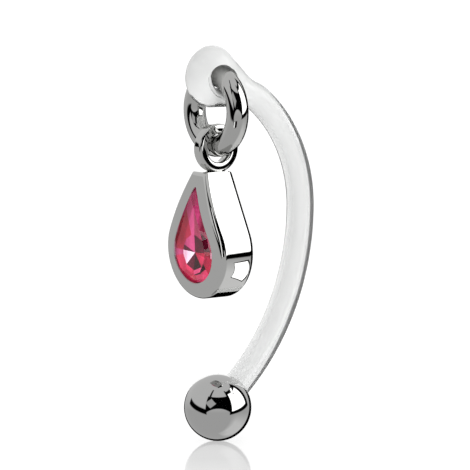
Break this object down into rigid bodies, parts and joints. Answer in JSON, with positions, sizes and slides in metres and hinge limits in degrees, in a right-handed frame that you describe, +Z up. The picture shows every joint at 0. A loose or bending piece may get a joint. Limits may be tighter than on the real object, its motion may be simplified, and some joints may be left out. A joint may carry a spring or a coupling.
{
  "type": "dangle curved barbell",
  "caption": "Navel barbell: a clear curved bar with a moulded clear ball, a steel ball below, and a teardrop stone in a steel case hanging from a ring through the clear ball.",
  "frame": {"origin": "on the centreline of the clear bar, at the point of its bow that sits in the piercing", "axes": "+Z up along the bar at the origin, towards the clear ball; -Y is the side that the stone faces; +X to the wearer's left"},
  "size_m": [0.0054, 0.0092, 0.0235],
  "materials": {
    "clear_plastic": "clear, faintly milky moulded plastic",
    "polished_steel": "mirror polished surgical steel",
    "ring_steel": "polished steel wire",
    "case_steel": "polished cast steel",
    "pink_stone": "faceted pink stone with a bright backing"
  },
  "bodies": {
    "bar": {"bar": "clear_plastic", "steel_ball": "polished_steel"},
    "ring": {"ring": "ring_steel"},
    "drop": {"drop_case": "case_steel", "stone": "pink_stone"}
  },
  "joints": [
    {"name": "ring_swing", "type": "hinge", "parent": "bar", "child": "ring", "pos_m": [0, -0.00636, 0.00799], "axis": [1, 0, 0], "range_deg": [-90, 16]},
    {"name": "drop_swing", "type": "hinge", "parent": "ring", "child": "drop", "pos_m": [0, -0.00636, 0.00593], "axis": [0, 1, 0], "range_deg": [-75, 75]}
  ]
}
